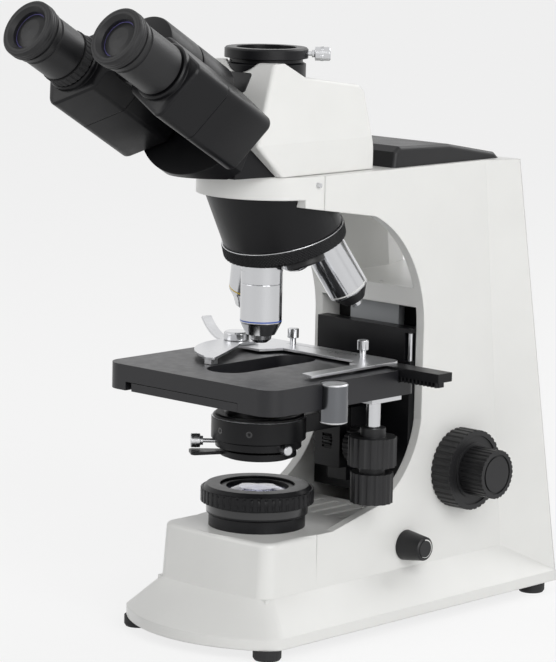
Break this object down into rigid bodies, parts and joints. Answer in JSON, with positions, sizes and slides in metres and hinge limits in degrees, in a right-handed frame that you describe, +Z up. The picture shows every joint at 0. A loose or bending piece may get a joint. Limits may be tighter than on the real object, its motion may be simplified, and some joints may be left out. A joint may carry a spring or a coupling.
{
  "type": "trinocular laboratory microscope",
  "caption": "Upright transmitted-light microscope: white stand, black mechanical stage, condenser, turret of objectives, folding binocular tubes and camera port.",
  "frame": {"origin": "centre of the bounding box in X and Y, on the bench at the feet's undersides", "axes": "+X to the user's right, +Y from the user to the rear of the stand, +Z up along the optical axis and the camera port"},
  "size_m": [0.1964, 0.4056, 0.4051],
  "materials": {
    "white_paint": "satin",
    "black_paint": "satin",
    "black_plastic": "matte",
    "black_rubber": "matte",
    "grey_slide": "satin",
    "steel": "brushed",
    "chrome": "polished",
    "brass": "polished",
    "stage_black": "satin",
    "aluminium": "satin",
    "glass": "clear",
    "mirror": "polished",
    "board_green": "matte"
  },
  "bodies": {
    "stand": {"stand_casting": "white_paint", "base_cover": "black_paint", "foot_pads": "black_rubber", "cover_screws": "steel", "grub_screws": "steel", "handle_cover": "black_plastic", "slide_base": "grey_slide", "column_panel": "black_paint", "focus_bushes": "brass", "lamp_bracket": "aluminium", "mirror_plate": "mirror", "lamp_bulb": "glass", "collector_housing": "black_paint", "field_lens": "glass", "power_board": "board_green", "dimmer_pot": "aluminium", "power_inlet": "black_plastic", "nosepiece_housing": "black_paint"},
    "brightness": {"brightness_knob": "black_plastic"},
    "rocker": {"power_rocker": "black_plastic"},
    "diaphragm_ring": {"field_ring": "black_paint"},
    "coarse_drive": {"coarse_shaft": "steel", "coarse_knobs": "black_plastic"},
    "fine_drive": {"fine_shaft": "steel", "fine_knobs": "black_plastic"},
    "carriage": {"carriage": "black_paint", "focus_rack": "brass", "stage_base": "stage_black", "stop_rod": "steel"},
    "stage": {"stage_plate": "stage_black", "stage_posts": "steel"},
    "y_drive": {"y_drive_knob": "black_plastic"},
    "x_drive": {"x_drive_knob": "black_plastic"},
    "slide_carrier": {"x_bar": "black_paint", "slide_holder": "steel", "holder_screws": "chrome"},
    "clip": {"clip_jaw": "steel"},
    "condenser": {"condenser_carrier": "black_paint", "condenser_body": "black_paint", "condenser_lens": "glass", "condenser_screws": "steel"},
    "condenser_drive": {"condenser_knob": "black_plastic"},
    "aperture": {"aperture_lever": "black_paint"},
    "turret": {"turret": "black_paint", "objective_high": "chrome", "objective_oil": "chrome", "objective_middle": "chrome", "objective_low": "chrome", "front_lenses": "glass", "dust_plug": "black_plastic"},
    "head": {"head_housing": "white_paint", "head_base": "black_paint", "prisms": "glass", "phototube": "black_paint"},
    "port_clamp": {"port_screw": "steel"},
    "right_tube": {"wing_right": "black_paint", "eyepiece_right": "black_plastic"},
    "left_tube": {"wing_left": "black_paint", "eyepiece_left": "black_plastic"},
    "diopter": {"diopter_ring": "black_rubber"}
  },
  "joints": [
    {"name": "stage_lift", "type": "slide", "parent": "stand", "child": "carriage", "axis": [0, 0, 1], "range_m": [-0.008, 0.012]},
    {"name": "coarse_focus", "type": "hinge", "parent": "stand", "child": "coarse_drive", "pos_m": [-0.00681, 0.11636, 0.0945], "axis": [1, 0, 0], "range_deg": [-90, 90]},
    {"name": "fine_focus", "type": "hinge", "parent": "stand", "child": "fine_drive", "pos_m": [-0.00681, 0.11636, 0.0945], "axis": [1, 0, 0], "continuous": true},
    {"name": "stage_y", "type": "slide", "parent": "carriage", "child": "stage", "axis": [0, 1, 0], "range_m": [-0.03, 0.017]},
    {"name": "y_drive_turn", "type": "hinge", "parent": "stage", "child": "y_drive", "pos_m": [0.05319, 0.01676, 0.1111], "axis": [0, 0, 1], "range_deg": [-220, 130]},
    {"name": "stage_x", "type": "slide", "parent": "stage", "child": "slide_carrier", "axis": [1, 0, 0], "range_m": [-0.038, 0.038]},
    {"name": "x_drive_turn", "type": "hinge", "parent": "stage", "child": "x_drive", "pos_m": [0.05319, 0.01676, 0.0874], "axis": [0, 0, 1], "range_deg": [-220, 220]},
    {"name": "clip_turn", "type": "hinge", "parent": "slide_carrier", "child": "clip", "pos_m": [-0.06081, 0.00976, 0.1774], "axis": [0, 0, 1], "range_deg": [-25, 0]},
    {"name": "condenser_lift", "type": "slide", "parent": "carriage", "child": "condenser", "axis": [0, 0, 1], "range_m": [-0.008, 0.012]},
    {"name": "condenser_turn", "type": "hinge", "parent": "condenser", "child": "condenser_drive", "pos_m": [-0.00681, 0.04516, 0.115], "axis": [1, 0, 0], "range_deg": [-130, 90]},
    {"name": "aperture_turn", "type": "hinge", "parent": "condenser", "child": "aperture", "pos_m": [-0.00681, -0.02524, 0.1165], "axis": [0, 0, 1], "range_deg": [-40, 40]},
    {"name": "brightness_turn", "type": "hinge", "parent": "stand", "child": "brightness", "pos_m": [0.04069, 0.06626, 0.0494], "axis": [1, 0, 0], "range_deg": [0, 280]},
    {"name": "rocker_tilt", "type": "hinge", "parent": "stand", "child": "rocker", "pos_m": [0.00819, 0.19181, 0.04], "axis": [1, 0, 0], "range_deg": [0, 8]},
    {"name": "diaphragm_turn", "type": "hinge", "parent": "stand", "child": "diaphragm_ring", "pos_m": [-0.00681, -0.02524, 0.0895], "axis": [0, 0, 1], "range_deg": [0, 90]},
    {"name": "turret_turn", "type": "hinge", "parent": "stand", "child": "turret", "pos_m": [-0.00681, -0.00283, 0.24347], "axis": [0, 0.3007, -0.9537], "continuous": true},
    {"name": "head_turn", "type": "hinge", "parent": "stand", "child": "head", "pos_m": [-0.00681, -0.02524, 0.2974], "axis": [0, 0, 1], "range_deg": [-110, 110]},
    {"name": "port_screw_turn", "type": "hinge", "parent": "head", "child": "port_clamp", "pos_m": [0.01148, -0.00819, 0.3706], "axis": [0.7314, 0.682, 0], "range_deg": [0, 360]},
    {"name": "right_wing", "type": "hinge", "parent": "head", "child": "right_tube", "pos_m": [-0.00681, -0.02524, 0.314], "axis": [0, -0.866, 0.5], "range_deg": [-23, 75]},
    {"name": "left_wing", "type": "hinge", "parent": "head", "child": "left_tube", "pos_m": [-0.00681, -0.02524, 0.314], "axis": [0, -0.866, 0.5], "range_deg": [-75, 23]},
    {"name": "diopter_turn", "type": "hinge", "parent": "left_tube", "child": "diopter", "pos_m": [-0.04457, -0.03466, 0.29769], "axis": [0, -0.866, 0.5], "range_deg": [-120, 120]}
  ],
  "couplings": [
    {"joint": "coarse_focus", "follows": "stage_lift", "rad_per_m": -125},
    {"joint": "y_drive_turn", "follows": "stage_y", "rad_per_m": 125},
    {"joint": "x_drive_turn", "follows": "stage_x", "rad_per_m": -100},
    {"joint": "condenser_turn", "follows": "condenser_lift", "rad_per_m": -178.57},
    {"joint": "left_wing", "follows": "right_wing", "ratio": -1}
  ]
}
